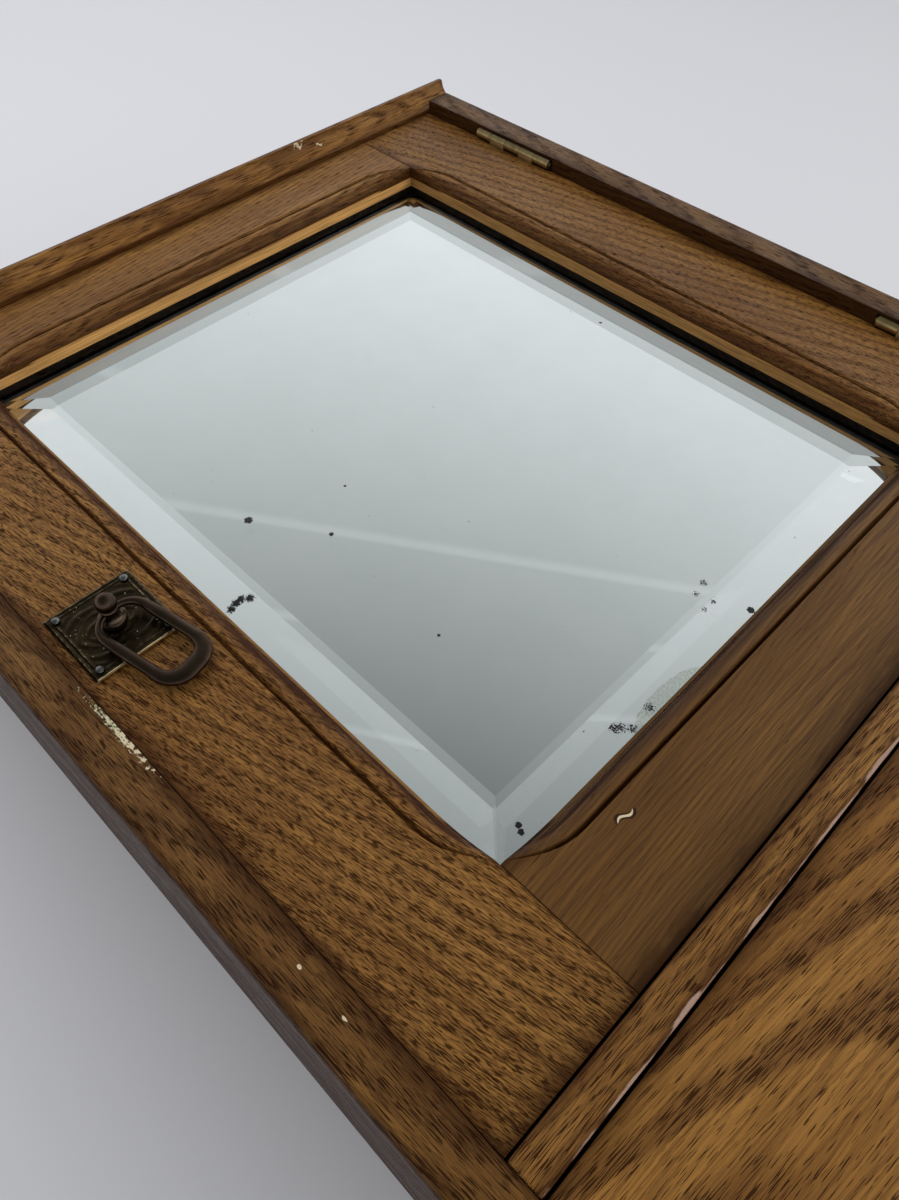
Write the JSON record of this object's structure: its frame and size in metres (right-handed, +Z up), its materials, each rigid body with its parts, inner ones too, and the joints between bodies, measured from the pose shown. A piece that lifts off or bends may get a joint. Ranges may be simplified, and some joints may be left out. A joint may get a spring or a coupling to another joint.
{
  "type": "medicine cabinet with mirror",
  "caption": "Wall-hung oak medicine cabinet: a bevelled mirror in a framed, hinged door with a turning drop-pull latch, shelves inside, and a drawer below.",
  "frame": {"origin": "middle of the back face, on the wall", "axes": "+Z up along the height, -Y out of the wall towards the user, +X to the right seen from the front"},
  "size_m": [0.476, 0.1634, 0.6126],
  "materials": {
    "varnished_oak": "old satin varnish, darkened at edges",
    "inside_oak": "thin oil, matt",
    "silvered_glass": "bevelled plate, silvered, with black specks",
    "aged_bronze": "dark patina worn bright at the edges",
    "brass": "dull, tarnished",
    "iron": "rusted cut nails"
  },
  "bodies": {
    "case": {"back_board_left": "inside_oak", "back_board_middle": "inside_oak", "back_board_right": "inside_oak", "bottom_board": "varnished_oak", "divider_board": "varnished_oak", "door_stop": "varnished_oak", "hanging_rail": "inside_oak", "hinge_lower_case_leaf": "brass", "hinge_lower_case_screw_lower": "brass", "hinge_lower_case_screw_upper": "brass", "hinge_lower_pin": "brass", "hinge_upper_case_leaf": "brass", "hinge_upper_case_screw_lower": "brass", "hinge_upper_case_screw_upper": "brass", "hinge_upper_pin": "brass", "keeper_screw_lower": "brass", "keeper_screw_upper": "brass", "latch_keeper": "brass", "shelf_lower": "inside_oak", "shelf_upper": "inside_oak", "side_left": "varnished_oak", "side_right": "varnished_oak", "top_board": "varnished_oak"},
    "door": {"backboard_nail_lower_left": "iron", "backboard_nail_lower_right": "iron", "backboard_nail_upper_left": "iron", "backboard_nail_upper_right": "iron", "hinge_lower_door_leaf": "brass", "hinge_lower_door_screw_lower": "brass", "hinge_lower_door_screw_upper": "brass", "hinge_upper_door_leaf": "brass", "hinge_upper_door_screw_lower": "brass", "hinge_upper_door_screw_upper": "brass", "mirror": "silvered_glass", "mirror_backboard": "inside_oak", "mirror_bedding": "varnished_oak", "pull_pin_lower_left": "aged_bronze", "pull_pin_lower_right": "aged_bronze", "pull_pin_upper_left": "aged_bronze", "pull_pin_upper_right": "aged_bronze", "pull_plate": "aged_bronze", "rail_bottom": "varnished_oak", "rail_top": "varnished_oak", "stile_hinge": "varnished_oak", "stile_latch": "varnished_oak"},
    "latch": {"pull_post": "aged_bronze", "latch_cam": "brass"},
    "door_bail": {"pull_bail": "aged_bronze"},
    "drawer": {"drawer_back": "inside_oak", "drawer_bottom": "inside_oak", "drawer_front": "varnished_oak", "drawer_pull_pin_lower_left": "aged_bronze", "drawer_pull_pin_lower_right": "aged_bronze", "drawer_pull_pin_upper_left": "aged_bronze", "drawer_pull_pin_upper_right": "aged_bronze", "drawer_pull_plate": "aged_bronze", "drawer_pull_post": "aged_bronze", "drawer_side_left": "inside_oak", "drawer_side_right": "inside_oak"},
    "drawer_bail": {"drawer_pull_bail": "aged_bronze"}
  },
  "joints": [
    {"name": "door_swing", "type": "hinge", "parent": "case", "child": "door", "pos_m": [0.2144, -0.1452, 0.06175], "axis": [0, 0, 1], "range_deg": [0, 110]},
    {"name": "latch_turn", "type": "hinge", "parent": "door", "child": "latch", "pos_m": [-0.1885, -0.142, 0.062], "axis": [0, -1, 0], "range_deg": [-13, 77]},
    {"name": "door_bail_lift", "type": "hinge", "parent": "latch", "child": "door_bail", "pos_m": [-0.1885, -0.15, 0.062], "axis": [-0.9744, 0, -0.225], "range_deg": [0, 110]},
    {"name": "drawer_slide", "type": "slide", "parent": "case", "child": "drawer", "axis": [0, -1, 0], "range_m": [0, 0.115]},
    {"name": "drawer_bail_lift", "type": "hinge", "parent": "drawer", "child": "drawer_bail", "pos_m": [0.0009, -0.153, -0.23165], "axis": [-1, 0, 0], "range_deg": [0, 110]}
  ]
}
